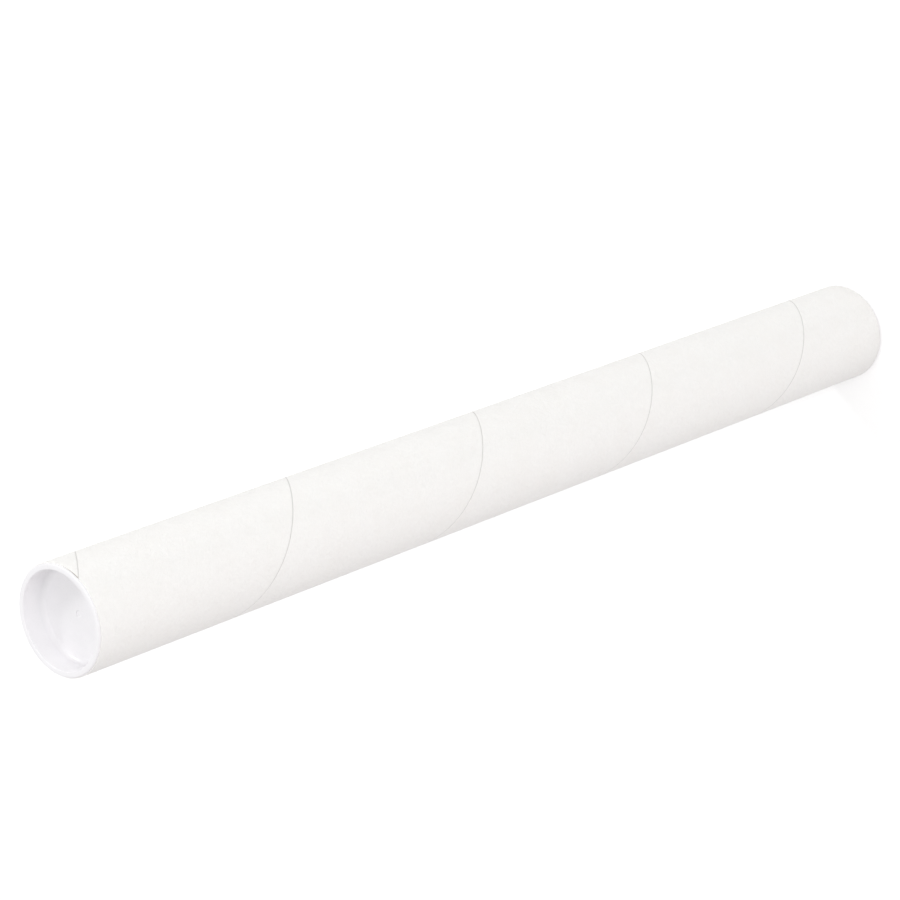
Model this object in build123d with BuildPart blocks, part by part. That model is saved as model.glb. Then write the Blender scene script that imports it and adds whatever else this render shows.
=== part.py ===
from build123d import *
from math import atan2, cos, degrees, pi, radians, sin
import os

# A mailing tube of spirally wound paperboard, closed by a plastic push-in cap at each end.
# It stands on its bottom cap: +Z is up, and the origin is the centre of the base.
# All sizes are in millimetres.

# The wound tube
bore_radius = 25.4
wall = 2.1
tube_length = 609.6

# The outer ply is one strip, wound left-handed. The gap between its edges climbs one winding
# pitch in each turn, and reaches the tube's top end at this many degrees round from +X.
winding_pitch = 137.6
seam_width = 0.5
seam_depth = 0.15
seam_end_angle = -29.2

# The cap's flange lies on the tube's cut end and stops just short of the tube's outside
flange_thickness = 1.2
flange_inset = 0.45
rim_round = 0.8

# The cap's cup goes into the bore. Both faces of its wall lean in by the draft.
recess_depth = 12.3
cup_wall = 0.9
cup_floor = 1.2
draft = 0.55
lip_chamfer = 0.35
floor_round = 3.0
lead_in = 2.3

# The rim and the cup's inside corner are each rounded by a few flats
round_flats = 3

# Crush ribs round the cup grip the bore
rib_count = 12
rib_height = 0.3
rib_width = 1.2
rib_lead = 2.0
rib_stop = 3.0
bore_clearance = 0.05

# A plain round mark in the middle of the cup's floor, where the plastic was let in
gate_radius = 1.6
gate_depth = 0.3

# Sizes that follow
outer_radius = bore_radius + wall
tube_bottom = flange_thickness
tube_top = tube_bottom + tube_length
overall_height = tube_top + flange_thickness
flange_radius = outer_radius - flange_inset
grip_radius = bore_radius - bore_clearance
cup_radius = grip_radius - rib_height
lip_radius = cup_radius - cup_wall
cup_depth = recess_depth + cup_floor
lean = draft / cup_depth

# Square across, the gap is seam_width wide. A level cut meets it on the slant, so there it takes
# seam_width over the sine of its climb.
seam_climb = atan2(winding_pitch, 2 * pi * outer_radius)
seam_angle = degrees(seam_width / sin(seam_climb) / outer_radius)

# The tool that cuts the gap runs past both ends of the tube and a little outside it
cut_overrun = 1.0
cut_length = tube_length + 2 * cut_overrun
cut_bottom = tube_bottom - cut_overrun
cut_start_angle = seam_end_angle + 360 * (tube_top - cut_bottom) / winding_pitch
gap_opens = cut_start_angle - seam_angle / 2

os.makedirs("parts", exist_ok=True)

# The gap's level section turns steadily as it rises
with BuildSketch(Plane.XY.offset(cut_bottom)) as gap_section:
    with BuildLine():
        outside = CenterArc((0, 0), outer_radius + seam_depth, gap_opens, seam_angle)
        gap_floor = CenterArc((0, 0), outer_radius - seam_depth, gap_opens, seam_angle)
        Line(outside @ 0, gap_floor @ 0)
        Line(outside @ 1, gap_floor @ 1)
    make_face()
with BuildLine() as middle:
    Line((0, 0, cut_bottom), (0, 0, cut_bottom + cut_length))
with BuildLine() as winding:
    Helix(winding_pitch, cut_length, outer_radius, center=(0, 0, cut_bottom), lefthand=True)
with BuildPart() as seam_gap:
    sweep(gap_section.sketch.face(), path=middle.edge(), binormal=winding.edge())

# The tube's outside is drawn as two halves that meet a quarter turn away from the seam's end
with BuildPart() as tube:
    with BuildSketch(Plane.XY.offset(tube_bottom)):
        with BuildLine():
            CenterArc((0, 0), outer_radius, seam_end_angle + 90, 180)
            CenterArc((0, 0), outer_radius, seam_end_angle + 270, 180)
        make_face()
        Circle(bore_radius, mode=Mode.SUBTRACT)
    extrude(amount=tube_length)
    add(seam_gap.part, mode=Mode.SUBTRACT)

tube.part.label = "tube"
export_step(tube.part, "parts/tube.step")

# The share of a round's radius that each corner between its flats lies out from the middle, first
# along the side it starts from and then along the side it ends on
round_shares = [
    (cos(radians(90 * k / round_flats)), sin(radians(90 * k / round_flats)))
    for k in range(round_flats + 1)
]

# The middles of the two rounds' arcs, as radius and depth below the cap's outer face
rim_middle = (flange_radius - rim_round, rim_round)
floor_middle = (lip_radius - lean * (recess_depth - floor_round) - floor_round, recess_depth - floor_round)

# Half of the cap's section, as radius and depth below the cap's outer face
section_corners = [
    (0, recess_depth + gate_depth),
    (gate_radius, recess_depth + gate_depth),
    (gate_radius, recess_depth),
    *[(floor_middle[0] + floor_round * b, floor_middle[1] + floor_round * a) for a, b in round_shares],
    (lip_radius - lean * lip_chamfer, lip_chamfer),
    (lip_radius + lip_chamfer, 0),
    *[(rim_middle[0] + rim_round * b, rim_middle[1] - rim_round * a) for a, b in round_shares],
    (flange_radius, flange_thickness),
    (cup_radius - lean * flange_thickness, flange_thickness),
    (cup_radius - lean * (cup_depth - lead_in), cup_depth - lead_in),
    (cup_radius - lean * cup_depth - lead_in, cup_depth),
    (0, cup_depth),
]

# A rib's side, from the middle of the cup's wall out to the bore
rib_root = lip_radius + cup_wall / 2
rib_end = cup_depth - rib_stop
rib_corners = [
    (rib_root, flange_thickness),
    (grip_radius, flange_thickness),
    (grip_radius, rib_end - rib_lead),
    (rib_root - lean * rib_end, rib_end),
]

# The same cap closes both ends: the height of its outer face, and 1 where the cup goes down from it
cap_places = {"top_cap": (overall_height, 1), "bottom_cap": (0, -1)}

for cap_name, (face_height, down) in cap_places.items():
    with BuildPart() as cap:
        with BuildSketch(Plane(origin=(0, 0, face_height), x_dir=(1, 0, 0), z_dir=(0, down, 0))):
            with BuildLine():
                Polyline(*section_corners, close=True)
            make_face()
        revolve(axis=Axis.Z)
        rib_planes = [
            Plane(
                origin=(0, 0, face_height),
                x_dir=Vector(1, 0, 0).rotate(Axis.Z, 360 * k / rib_count),
                z_dir=Vector(0, down, 0).rotate(Axis.Z, 360 * k / rib_count),
            )
            for k in range(rib_count)
        ]
        with BuildSketch(*rib_planes):
            with BuildLine():
                Polyline(*rib_corners, close=True)
            make_face()
        extrude(amount=rib_width / 2, both=True)

    cap.part.label = cap_name
    export_step(cap.part, f"parts/{cap_name}.step")
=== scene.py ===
from math import atan2, cos, degrees, hypot, pi, radians, sin

import bpy
import numpy as np
from mathutils import Matrix, Vector


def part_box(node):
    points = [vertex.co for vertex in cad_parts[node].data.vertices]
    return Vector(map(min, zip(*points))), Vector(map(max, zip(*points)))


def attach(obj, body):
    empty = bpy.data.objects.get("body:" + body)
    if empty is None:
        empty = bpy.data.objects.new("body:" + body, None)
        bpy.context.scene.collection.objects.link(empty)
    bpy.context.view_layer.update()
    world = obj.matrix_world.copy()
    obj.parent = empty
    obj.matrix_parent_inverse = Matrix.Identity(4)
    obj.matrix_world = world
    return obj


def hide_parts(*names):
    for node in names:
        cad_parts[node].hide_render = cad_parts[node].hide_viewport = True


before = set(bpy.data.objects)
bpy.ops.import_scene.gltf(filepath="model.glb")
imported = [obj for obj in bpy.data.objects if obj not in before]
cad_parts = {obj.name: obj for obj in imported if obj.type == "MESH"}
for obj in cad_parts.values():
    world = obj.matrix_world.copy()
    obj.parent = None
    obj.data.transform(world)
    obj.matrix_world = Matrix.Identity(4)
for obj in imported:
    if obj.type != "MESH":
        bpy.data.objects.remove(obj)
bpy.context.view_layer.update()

MM = 0.001

# Sizes taken from the CAD solids
tube_low, tube_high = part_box("tube")
cap_low, cap_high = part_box("top_cap")
OUTER_RADIUS = tube_high.x
TUBE_BOTTOM = tube_low.z
TUBE_TOP = tube_high.z
HEIGHT = cap_high.z
FLANGE_RADIUS = cap_high.x
BORE_RADIUS = 25.4 * MM

# The winding: one ply's pitch up the tube, and where the gap between its edges meets the top end
PITCH = 137.6 * MM
SEAM_END_ANGLE = radians(-29.2)
SEAM_DEPTH = 0.15 * MM
SEAM_HALF_WIDTH = 0.25 * MM
# The inner ply's joint runs a little under half a pitch away, because the plies overlap
INNER_SEAM_SHIFT = 0.46
CLIMB = atan2(PITCH, 2 * pi * OUTER_RADIUS)
# The outer ply with its glue, and how far its pointed tip stops short of the tube's top
OUTER_PLY = 0.31 * MM
TIP_SHORTFALL = 0.2 * MM


def smoothstep(low, high, value):
    """0 below low, 1 above high, and a smooth rise of 3t^2 - 2t^3 between them."""
    t = np.clip((value - low) / (high - low), 0, 1)
    return t * t * (3 - 2 * t)


def make_piece(name, points, faces, body, slot, replaced, material, sharp=35):
    """A closed mesh from points and faces. Doubles are merged, flat slivers are dropped, and it is
    shaded smooth across edges up to the sharp angle."""
    mesh = bpy.data.meshes.new(name)
    mesh.from_pydata(points, [], faces)
    piece = bpy.data.objects.new(name, mesh)
    bpy.context.scene.collection.objects.link(piece)
    bpy.context.view_layer.objects.active = piece
    bpy.ops.object.select_all(action="DESELECT")
    piece.select_set(True)
    bpy.ops.object.mode_set(mode="EDIT")
    bpy.ops.mesh.select_all(action="SELECT")
    bpy.ops.mesh.remove_doubles(threshold=2e-6)
    bpy.ops.mesh.dissolve_degenerate(threshold=1e-7)
    bpy.ops.mesh.normals_make_consistent(inside=False)
    bpy.ops.object.mode_set(mode="OBJECT")
    mesh.shade_smooth()
    mesh.set_sharp_from_angle(angle=radians(sharp))
    mesh.materials.append(material)
    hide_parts(replaced)
    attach(piece, body)
    return piece


def grid_faces(rows, columns, first):
    """The quads of a rows by columns grid of points, numbered row after row from first."""
    corner = first + np.arange(rows * columns).reshape(rows, columns)
    return np.stack(
        [corner[:-1, :-1], corner[:-1, 1:], corner[1:, 1:], corner[1:, :-1]], -1
    ).reshape(-1, 4)


def join_grids(grids):
    """Several grids of points as one list of points and one of quads."""
    points = np.concatenate([g.reshape(-1, 3) for g in grids])
    faces, first = [], 0
    for g in grids:
        faces.append(grid_faces(g.shape[0], g.shape[1], first))
        first += g.shape[0] * g.shape[1]
    return points.tolist(), np.concatenate(faces).tolist()


def turned(radius, angle, z):
    """Points at radius and height z, turned by angle round the tube's axis."""
    radius, angle, z = np.broadcast_arrays(radius, angle, z)
    return np.stack([radius * np.cos(angle), radius * np.sin(angle), z], -1)


def seam_height(angle, shift=0.0):
    """The winding gap's height at an angle: it falls by one pitch in each turn, from the top end."""
    return TUBE_TOP - PITCH * ((angle - SEAM_END_ANGLE) / (2 * pi) + shift)


def seam_distance(angle, z, shift=0.0):
    """Distance square across to the nearest turn of the gap: the rest of the height after whole pitches."""
    turns = (z - seam_height(angle, shift)) / PITCH
    return (turns - np.round(turns)) * PITCH * cos(CLIMB)


def groove(distance):
    """Depth of the gap between two ply edges: a flat floor, steep sides that run from just inside
    the gap's half width to just outside it, and the plies' edges rolled down a little beside it."""
    side_in, side_out = 0.06 * MM, 0.03 * MM
    roll_width, roll_depth = 0.5 * MM, 0.02 * MM
    inside = 1 - smoothstep(SEAM_HALF_WIDTH - side_in, SEAM_HALF_WIDTH + side_out, np.abs(distance))
    rolled = 1 - smoothstep(SEAM_HALF_WIDTH, SEAM_HALF_WIDTH + roll_width, np.abs(distance))
    return inside * (SEAM_DEPTH - roll_depth) + rolled * roll_depth


def tip_shortfall(angle):
    """How far the outer ply stops short of the tube's top. It is most at the ply's pointed tip,
    within 0.6 of a degree of the gap, and fades out between 3 and 26 degrees past it."""
    past_tip = (angle - SEAM_END_ANGLE) % (2 * pi)
    rise = smoothstep(0, radians(0.6), past_tip)
    fade = 1 - smoothstep(radians(3), radians(26), past_tip)
    return TIP_SHORTFALL * rise * fade


def wound_tube():
    """The tube as four bands of one closed skin.

    Outside and bore: rows run along the winding, so row k of column a stands at the gap's height
    there less k's drop, held between the two ends. Radius is the plain radius less the gap's depth.
    The two cut ends: rings from the outer edge to the bore, whose edges are rounded by a quarter
    circle, and cut back where the gap comes out.
    """
    edge = 0.06 * MM
    # Columns every 1.25 degrees, and closer together where the gap comes out at either end
    bottom_end_angle = SEAM_END_ANGLE + 2 * pi * (TUBE_TOP - TUBE_BOTTOM) / PITCH
    near_ends = [np.linspace(-2, 2, 17) + np.degrees(a) for a in (SEAM_END_ANGLE, bottom_end_angle)]
    near_ends = (np.concatenate(near_ends) + 180) % 360 - 180
    angles = np.concatenate([np.linspace(-180, 180, 289), near_ends])
    angle = np.radians(np.unique(np.round(angles, 4)))[None, :]
    # Rows across each turn of the gap, closest together at the gap's sides
    across = np.array([0, 0.12, 0.19, 0.22, 0.25, 0.28, 0.4, 0.75, 2, 6, 15, 30, 45]) * MM / cos(CLIMB)
    offsets = np.unique(np.concatenate([-across, across, [PITCH / 2]]))
    offsets = offsets[(offsets > -PITCH / 2) & (offsets <= PITCH / 2)]
    turns = np.arange(-2, int((TUBE_TOP - TUBE_BOTTOM) / PITCH) + 3)
    drop = np.sort((turns[:, None] * PITCH + offsets[None, :]).ravel())[:, None]

    z = np.clip(seam_height(angle) - drop, TUBE_BOTTOM + edge, TUBE_TOP - edge - tip_shortfall(angle))
    outside = turned(OUTER_RADIUS - groove(seam_distance(angle, z)), angle, z)
    z = np.clip(seam_height(angle, INNER_SEAM_SHIFT) - drop, TUBE_BOTTOM + edge, TUBE_TOP - edge)
    bore = turned(BORE_RADIUS + groove(seam_distance(angle, z, INNER_SEAM_SHIFT)), angle, z)

    # The cut ends' rings: the outer rounded edge, the flat with a step at the outer ply, the inner edge
    quarter = np.radians(np.linspace(0, 90, 4))
    flat = np.concatenate([[0.12, 0.22, 0.3, 0.33], np.linspace(0.4, 1.98, 9)]) * MM
    ring = np.concatenate(
        [
            OUTER_RADIUS - edge + edge * np.cos(quarter),
            OUTER_RADIUS - flat,
            BORE_RADIUS + edge - edge * np.cos(quarter[::-1]),
        ]
    )[:, None]
    sink = np.concatenate([edge - edge * np.sin(quarter), 0 * flat, edge - edge * np.sin(quarter[::-1])])
    sink = sink[:, None]
    on_outer_ply = ring > OUTER_RADIUS - OUTER_PLY
    ends = []
    for z in (TUBE_TOP - sink - tip_shortfall(angle) * on_outer_ply, TUBE_BOTTOM + sink + 0 * angle):
        cut = np.minimum(ring, OUTER_RADIUS - groove(seam_distance(angle, z)))
        cut = np.maximum(cut, BORE_RADIUS + groove(seam_distance(angle, z, INNER_SEAM_SHIFT)))
        ends.append(turned(cut, angle, z))
    return join_grids([outside, bore, *ends])


# The push-in cap, measured in depth below its outer face
FLANGE = 1.2 * MM
RECESS = 12.3 * MM
CUP_WALL = 0.9 * MM
CUP_FLOOR = 1.2 * MM
CUP_DEPTH = RECESS + CUP_FLOOR
# Both faces of the cup's wall lean in by 0.55 mm over its depth
LEAN = 0.55 * MM / CUP_DEPTH
RIM_ROUND = 0.8 * MM
LIP_ROUND = 0.5 * MM
FLOOR_ROUND = 3.0 * MM
LEAD_IN = 2.3 * MM
LEAD_IN_ROUND = 0.8 * MM
UNDER_EDGE_ROUND = 0.06 * MM
# The gate mark in the middle of the cup's floor: a shallow round dimple with a sloping side
GATE_DEPTH = 0.3 * MM
GATE_FLOOR_RADIUS = 1.42 * MM
GATE_RIM_RADIUS = 1.62 * MM
GATE_ROUND = 0.12 * MM
# The ribs round the cup, which stand just clear of the bore
RIB_COUNT = 12
RIB_HEIGHT = 0.3 * MM
RIB_HALF_WIDTH = 0.6 * MM
RIB_LEAD = 2 * MM
RIB_END = CUP_DEPTH - 3.4 * MM
GRIP_RADIUS = BORE_RADIUS - 0.05 * MM
CUP_RADIUS = GRIP_RADIUS - RIB_HEIGHT
LIP_RADIUS = CUP_RADIUS - CUP_WALL


def rounded(corners):
    """A line through corners, each given as (radius, depth, round). A corner with a round becomes an
    arc that touches both of its sides, which it meets at the round over the tangent of half the
    corner's angle. The arc runs between its two ends by the sines of the turn done and still to do."""
    line = []
    for k, (r, d, size) in enumerate(corners):
        here = np.array([r, d])
        if size == 0:
            line.append(here[None])
            continue
        before = np.array(corners[k - 1][:2]) - here
        after = np.array(corners[k + 1][:2]) - here
        before, after = before / hypot(*before), after / hypot(*after)
        half = np.arccos(np.clip(before @ after, -1, 1)) / 2
        reach = size / np.tan(half)
        centre = here + (before + after) / np.linalg.norm(before + after) * size / np.sin(half)
        start, end = here + before * reach - centre, here + after * reach - centre
        sweep = pi - 2 * half
        t = np.linspace(0, 1, max(4, int(np.degrees(sweep) / 12) + 2))[:, None]
        arc = (np.sin((1 - t) * sweep) * start + np.sin(t * sweep) * end) / np.sin(sweep)
        line.append(centre + arc)
    return np.concatenate(line)


def push_in_cap(face_height, down):
    """The cap: half of its section turned about the axis, with ribs raised on the cup's outside.

    Point k of the section at angle a is at radius r + rib(a, depth) and height face - down * depth.
    """
    inner = rounded(
        [
            (0, RECESS + GATE_DEPTH, 0),
            (GATE_FLOOR_RADIUS, RECESS + GATE_DEPTH, GATE_ROUND),
            (GATE_RIM_RADIUS, RECESS, GATE_ROUND),
            (LIP_RADIUS - LEAN * RECESS, RECESS, FLOOR_ROUND),
            (LIP_RADIUS, 0, LIP_ROUND),
            (FLANGE_RADIUS, 0, RIM_ROUND),
            (FLANGE_RADIUS, FLANGE, UNDER_EDGE_ROUND),
            (CUP_RADIUS - LEAN * FLANGE, FLANGE, 0),
        ]
    )
    # Depths down the cup's outside, closer together under the flange and where the ribs taper off
    wall_depths = np.concatenate(
        [
            FLANGE + np.array([0.02, 0.3, 0.7]) * MM,
            np.linspace(FLANGE + 1.4 * MM, RIB_END - RIB_LEAD, 6),
            np.linspace(RIB_END - 1.9 * MM, RIB_END, 8),
        ]
    )
    wall = np.stack([CUP_RADIUS - LEAN * wall_depths, wall_depths], -1)
    bottom = rounded(
        [
            (CUP_RADIUS - LEAN * RIB_END, RIB_END, 0),
            (CUP_RADIUS - LEAN * (CUP_DEPTH - LEAD_IN), CUP_DEPTH - LEAD_IN, LEAD_IN_ROUND),
            (CUP_RADIUS - LEAN * CUP_DEPTH - LEAD_IN, CUP_DEPTH, LEAD_IN_ROUND),
            (0, CUP_DEPTH, 0),
        ]
    )[1:]
    section = np.concatenate([inner, wall, bottom])
    angle = np.radians(np.linspace(0, 360, 16 * RIB_COUNT + 1))[None, :]
    r, depth = section[:, :1], section[:, 1:]

    row = np.arange(len(section))[:, None]
    on_wall = (row >= len(inner)) & (row < len(inner) + len(wall))
    half_rib = RIB_HALF_WIDTH / CUP_RADIUS
    from_rib = np.abs((angle + pi / RIB_COUNT) % (2 * pi / RIB_COUNT) - pi / RIB_COUNT)
    shape = 1 - smoothstep(half_rib * 0.75, half_rib * 1.35, from_rib)
    lead = 1 - np.clip((depth - (RIB_END - RIB_LEAD)) / RIB_LEAD, 0, 1)
    rib = (GRIP_RADIUS - r) * shape * lead * on_wall
    return join_grids([turned(r + rib, angle, face_height - down * depth)])


class Value:
    """A number that changes over the surface. Each operator on it adds one Math node."""

    def __init__(self, paint, socket):
        self.paint, self.socket = paint, socket

    def math(self, operation, *others):
        """One Math node on this value and the others."""
        return self.paint.math(operation, self, *others)

    def __add__(self, other):
        return self.math("ADD", other)

    def __sub__(self, other):
        return self.math("SUBTRACT", other)

    def __mul__(self, other):
        return self.math("MULTIPLY", other)

    def __truediv__(self, other):
        return self.math("DIVIDE", other)

    def __radd__(self, other):
        return self.paint.math("ADD", other, self)

    def __rsub__(self, other):
        return self.paint.math("SUBTRACT", other, self)

    def __rmul__(self, other):
        return self.paint.math("MULTIPLY", other, self)

    def __rtruediv__(self, other):
        return self.paint.math("DIVIDE", other, self)

    def step(self, low, high):
        """0 at low, 1 at high and smooth between. Low may be the higher of the two."""
        made = self.paint.node(
            "ShaderNodeMapRange",
            {"interpolation_type": "SMOOTHSTEP"},
            {0: self, 1: min(low, high), 2: max(low, high), 3: float(low > high), 4: float(low <= high)},
        )
        return Value(self.paint, made.outputs[0])


class Paint:
    """A material, or the world, whose nodes are written as expressions."""

    def __init__(self, owner):
        self.owner = owner
        self.owner.use_nodes = True
        self.tree = self.owner.node_tree
        self.tree.nodes.clear()

    def node(self, kind, settings=None, inputs=None):
        """Adds a node of one type, sets its settings, then gives its sockets values or links."""
        made = self.tree.nodes.new(kind)
        for key, value in (settings or {}).items():
            setattr(made, key, value)
        for key, value in (inputs or {}).items():
            value = getattr(value, "socket", value)
            if isinstance(value, bpy.types.NodeSocket):
                self.tree.links.new(value, made.inputs[key])
            else:
                made.inputs[key].default_value = value
        return made

    def math(self, operation, *terms):
        """One Math node on numbers, values or sockets, in the order given."""
        made = self.node("ShaderNodeMath", {"operation": operation}, dict(enumerate(terms)))
        return Value(self, made.outputs[0])

    def coordinates(self):
        """The piece's own coordinates as one vector, then as x, y and z."""
        place = self.node("ShaderNodeTexCoord").outputs["Object"]
        split = self.node("ShaderNodeSeparateXYZ", None, {0: place})
        return place, *(Value(self, s) for s in split.outputs)

    def noise(self, vector, scale, detail, roughness=0.5):
        """Noise from 0 to 1 whose grains are about one over the scale across, in metres."""
        made = self.node(
            "ShaderNodeTexNoise",
            None,
            {"Vector": vector, "Scale": scale, "Detail": detail, "Roughness": roughness},
        )
        return Value(self, made.outputs[0])

    def mix(self, factor, first, second):
        """A colour between two colours or sockets."""
        made = self.node("ShaderNodeMix", {"data_type": "RGBA"}, {0: factor, 6: first, 7: second})
        return made.outputs[2]

    def bump(self, height, distance, strength, below=None):
        """A normal for a height over the surface, laid on the normal below where there is one."""
        inputs = {"Height": height, "Distance": distance, "Strength": strength}
        if below is not None:
            inputs["Normal"] = below
        return self.node("ShaderNodeBump", None, inputs).outputs[0]

    def seen(self):
        """1 for what the camera sees, straight or mirrored, and 0 for light on its way to the object."""
        ray = self.node("ShaderNodeLightPath").outputs
        straight_or_glossy = self.math("MAXIMUM", ray["Is Camera Ray"], ray["Is Glossy Ray"])
        return straight_or_glossy.math("MAXIMUM", ray["Is Transmission Ray"])

    def finish(self, **sockets):
        """Puts the values on a Principled shader, by its sockets' names with underscores for spaces."""
        shader = self.node(
            "ShaderNodeBsdfPrincipled", None, {k.replace("_", " "): v for k, v in sockets.items()}
        )
        self.node("ShaderNodeOutputMaterial", None, {0: shader.outputs[0]})
        return self.owner


def from_axis(x, y):
    """Distance from the tube's axis: the root of x squared plus y squared."""
    return (x.math("POWER", 2.0) + y.math("POWER", 2.0)).math("SQRT")


def rgb(red, green, blue):
    """A colour as the screen shows it, 0 to 255, turned into the shader's linear values."""
    v = np.array([red, green, blue]) / 255
    linear = np.where(v <= 0.04045, v / 12.92, ((v + 0.055) / 1.055) ** 2.4)
    return (*linear.tolist(), 1.0)


def paperboard():
    """White liner outside, grey-tan board inside and at the cut ends, with the plies' gaps darker.

    The fibres lie along the winding, so the noise is read on coordinates that are unwound: turned
    back about the axis in step with the height, by a full turn in each pitch.
    """
    p = Paint(bpy.data.materials.new("white_wound_paperboard"))
    place, x, y, z = p.coordinates()
    unwound = p.node(
        "ShaderNodeVectorRotate",
        {"rotation_type": "Z_AXIS"},
        {"Vector": place, "Angle": z * (2 * pi / PITCH)},
    ).outputs[0]
    along = p.node(
        "ShaderNodeVectorMath", {"operation": "MULTIPLY"}, {0: unwound, 1: (1, 1, 0.75)}
    ).outputs[0]
    radius = from_axis(x, y)
    angle = y.math("ARCTAN2", x)

    def gap_distance(shift):
        """Distance in millimetres to the nearest turn of a ply's gap, as seam_distance has it."""
        turns = (z - seam_height(0.0, shift)) / PITCH + angle / (2 * pi)
        return (turns - turns.math("ROUND")).math("ABSOLUTE") * (PITCH * cos(CLIMB) / MM)

    ragged = p.noise(along, 1400.0, 2.0)
    outer_gap = gap_distance(0.0) + (ragged - 0.5) * 0.12
    inner_gap = gap_distance(INNER_SEAM_SHIFT) + (ragged - 0.5) * 0.3
    clouds = p.noise(place, 60.0, 3.0, 0.6)
    mottle = p.noise(place, 520.0, 2.0, 0.55)
    fibres = p.noise(along, 900.0, 3.0, 0.6)
    flecks = p.noise(place, 2600.0, 2.0, 0.5)

    # The white liner, from its fibres to its flecks, with the gap between the ply edges painted grey: a
    # darker joint, with painted shade of the groove laid on it
    white = p.mix(fibres.step(0.3, 0.7), rgb(244, 243, 241), rgb(247, 246, 244))
    white = p.mix(mottle.step(0.35, 0.65) * 0.35, white, rgb(249, 248, 246))
    white = p.mix(clouds.step(0.35, 0.7) * 0.4, white, rgb(244, 242, 239))
    white = p.mix(flecks.step(0.6, 0.75) * 0.3, white, rgb(236, 234, 229))
    # Painted shade: the gap's grey stands partly for the shade in the groove, over a darker joint
    white = p.mix(outer_gap.step(0.4, 0.2), white, rgb(221, 219, 217))
    # Where the outer ply stops short of the tube's top, the strip is painted darker: the glue and grey ply
    # below it, with painted shade of the slot under the ply's tip
    past_tip = (angle * (180 / pi) - degrees(SEAM_END_ANGLE)).math("FLOORED_MODULO", 360.0)
    near_top = (z / MM - TUBE_TOP / MM + 0.24).step(0.0, 0.06)
    bared_ply_and_slot_shade = near_top * past_tip.step(25, 4) * past_tip.step(0.2, 0.8)
    white = p.mix(bared_ply_and_slot_shade * (radius / MM).step(27.46, 27.4), white, rgb(188, 183, 177))
    # The grey-tan board, with its joint in the bore
    core = p.mix(fibres.step(0.3, 0.75), rgb(206, 198, 184), rgb(221, 214, 202))
    core = p.mix(inner_gap.step(0.35, 0.2), core, rgb(150, 141, 128))
    # On the cut ends the plies show as rings 0.35 mm apart
    ply = ((radius - BORE_RADIUS) / (0.35 * MM) + (fibres - 0.5) * 0.35).math("FRACT")
    ring = (ply - 0.5).math("ABSOLUTE").step(0.5, 0.36)
    core = p.mix(ring * 0.55 * (radius / MM).step(25.45, 25.55), core, rgb(166, 156, 141))
    # The plies within about half a millimetre of the outside are white
    outside = (radius / MM).step(26.93, 26.98)

    normal = p.bump(mottle + fibres * 0.3 + flecks * 0.3, 0.36 * MM, 1.0)
    normal = p.bump(clouds, 0.6 * MM, 0.12, normal)
    return p.finish(
        Base_Color=p.mix(outside, core, white),
        Roughness=0.62 + fibres * 0.12,
        Normal=normal,
        Specular_IOR_Level=0.35,
    )


def moulded_plastic():
    """Cool white plastic with a soft gloss: a faint unevenness, and flow rings on the cup's floor."""
    p = Paint(bpy.data.materials.new("white_moulded_plastic"))
    place, x, y, _ = p.coordinates()
    slow = p.noise(place, 90.0, 2.0)
    grain = p.noise(place, 2400.0, 2.0)
    flow = ((from_axis(x, y) / MM) * 1.9 + slow * 3.0).math("SINE")
    normal = p.bump(grain, 0.02 * MM, 0.3)
    normal = p.bump(flow * 0.1 + slow, 0.25 * MM, 0.15, normal)
    return p.finish(
        Base_Color=p.mix(slow.step(0.3, 0.7), rgb(239.5, 238.2, 240.2), rgb(241.5, 240.2, 242.2)),
        Roughness=0.24 + grain * 0.1,
        Normal=normal,
        Specular_IOR_Level=0.6,
    )


paper = paperboard()
plastic = moulded_plastic()
make_piece("wound_tube", *wound_tube(), "tube", "white_paperboard", "tube", paper)
make_piece("top_push_in_cap", *push_in_cap(HEIGHT, 1), "top_cap", "white_plastic", "top_cap", plastic, 60)
make_piece(
    "bottom_push_in_cap", *push_in_cap(0.0, -1), "bottom_cap", "white_plastic", "bottom_cap", plastic, 60
)


def aim(azimuth, elevation):
    """The direction towards a lamp, from its azimuth round from +X and its elevation, in degrees."""
    a, e = radians(azimuth), radians(elevation)
    return Vector((cos(a) * cos(e), sin(a) * cos(e), sin(e)))


SKY_LEVEL = 0.687
# How much of the floor's white is its own where the tube stands, and how much more of it far away,
# where the lamps reach it less
FLOOR_LIFT = 0.24
FAR_FLOOR_LIFT = 0.17
FLOOR_HALF_WIDTH = 6.0

# Round lamps: name, direction, distance and diameter in metres, the light they give a surface that
# faces them, colour, and whether the gloss of the cap mirrors them, as the photo shows of two
LAMPS = [
    ("side_key", aim(44, 33), 3.0, 0.6, 0.2, (1, 1, 1), True),
    ("front_key", aim(-56, 16), 3.0, 0.83, 0.245, (1, 1, 1), False),
    ("end_fill", aim(-30, 78), 2.0, 1.0, 0.2, (1, 1, 1), False),
    ("low_fill", aim(-132, 8), 3.0, 0.8, 0.036, (1, 0.6, 0.7), True),
]


def white_floor():
    """A square floor that shows white and still takes the tube's shadow."""
    p = Paint(bpy.data.materials.new("white_floor"))
    _, x, y, _ = p.coordinates()
    lift = p.seen() * (FLOOR_LIFT + from_axis(x, y).step(0.25, 1.6) * FAR_FLOOR_LIFT)
    mesh = bpy.data.meshes.new("floor")
    half = FLOOR_HALF_WIDTH
    corners = [(-half, -half, 0), (half, -half, 0), (half, half, 0), (-half, half, 0)]
    mesh.from_pydata(corners, [], [(0, 1, 2, 3)])
    floor = bpy.data.objects.new("floor", mesh)
    bpy.context.scene.collection.objects.link(floor)
    mesh.materials.append(
        p.finish(
            Base_Color=rgb(240, 240, 240),
            Roughness=0.9,
            Specular_IOR_Level=0.0,
            Emission_Color=p.mix(lift, (0, 0, 0, 1), (1, 1, 1, 1)),
            Emission_Strength=1.0,
        )
    )


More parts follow.
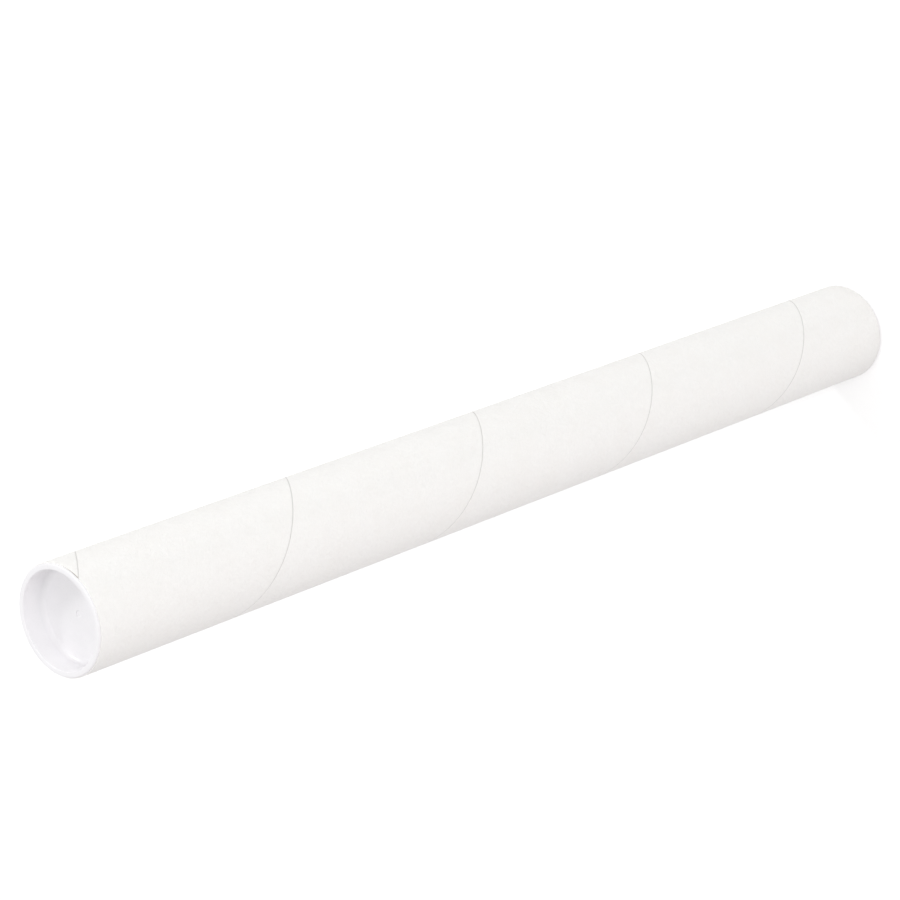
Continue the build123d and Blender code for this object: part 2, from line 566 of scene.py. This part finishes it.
def studio_sky():
    """A soft even light from all round, which the camera sees as plain white."""
    w = Paint(bpy.data.worlds.new("studio"))
    lit = w.node("ShaderNodeBackground", None, {"Color": (1, 1, 1, 1), "Strength": SKY_LEVEL})
    white = w.node("ShaderNodeBackground", None, {"Color": (1, 1, 1, 1), "Strength": 1.0})
    shown = w.node("ShaderNodeMixShader", None, {0: w.seen(), 1: lit.outputs[0], 2: white.outputs[0]})
    w.node("ShaderNodeOutputWorld", None, {0: shown.outputs[0]})
    bpy.context.scene.world = w.owner


def studio_lamp(name, direction, distance, diameter, level, colour, mirrored):
    """A round lamp aimed at the top cap's face. A disc lamp's light on a surface that faces it is its
    power over pi squared and the distance squared, so the power is the level times both."""
    lamp = bpy.data.lights.new(name, "AREA")
    lamp.color = colour
    lamp.shape = "DISK"
    lamp.size = diameter
    lamp.energy = level * pi * pi * distance ** 2
    holder = bpy.data.objects.new(name, lamp)
    bpy.context.scene.collection.objects.link(holder)
    holder.visible_glossy = mirrored
    cap_face = Vector((0, 0, HEIGHT))
    turn = direction.to_track_quat("Z", "Y").to_matrix().to_4x4()
    holder.matrix_world = Matrix.Translation(cap_face + direction * distance) @ turn


white_floor()
studio_sky()
for lamp_row in LAMPS:
    studio_lamp(*lamp_row)

SENSOR_WIDTH = 36
IMAGE_WIDTH = 900
FOCAL_LENGTH_IN_PIXELS = 3326.5034


def photo_camera():
    """The photograph's view. It was worked out with the tube lying along x from its near cap, so a
    point is (along, across, above), in outer radii. Standing up, that is (above, across, height - along)."""
    yaw, pitch = radians(41.59667), radians(18.69864)
    place = np.array([-33.8682, -38.6973, 20.2458]) * OUTER_RADIUS
    forward = np.array([cos(pitch) * cos(yaw), cos(pitch) * sin(yaw), -sin(pitch)])
    right = np.array([sin(yaw), -cos(yaw), 0.0])
    up = np.cross(right, forward)

    def stand(v):
        return Vector((v[2], v[1], -v[0]))

    camera = bpy.data.cameras.new("camera")
    camera.sensor_width = SENSOR_WIDTH
    camera.lens = FOCAL_LENGTH_IN_PIXELS * SENSOR_WIDTH / IMAGE_WIDTH
    camera.clip_end = 50
    holder = bpy.data.objects.new("camera", camera)
    bpy.context.scene.collection.objects.link(holder)
    x, y, z = stand(right), stand(up), -stand(forward)
    turn = Matrix((x, y, z)).transposed().to_4x4()
    holder.matrix_world = Matrix.Translation(stand(place) + Vector((0, 0, HEIGHT))) @ turn
    bpy.context.scene.camera = holder


photo_camera()
bpy.context.scene.view_settings.view_transform = "Standard"
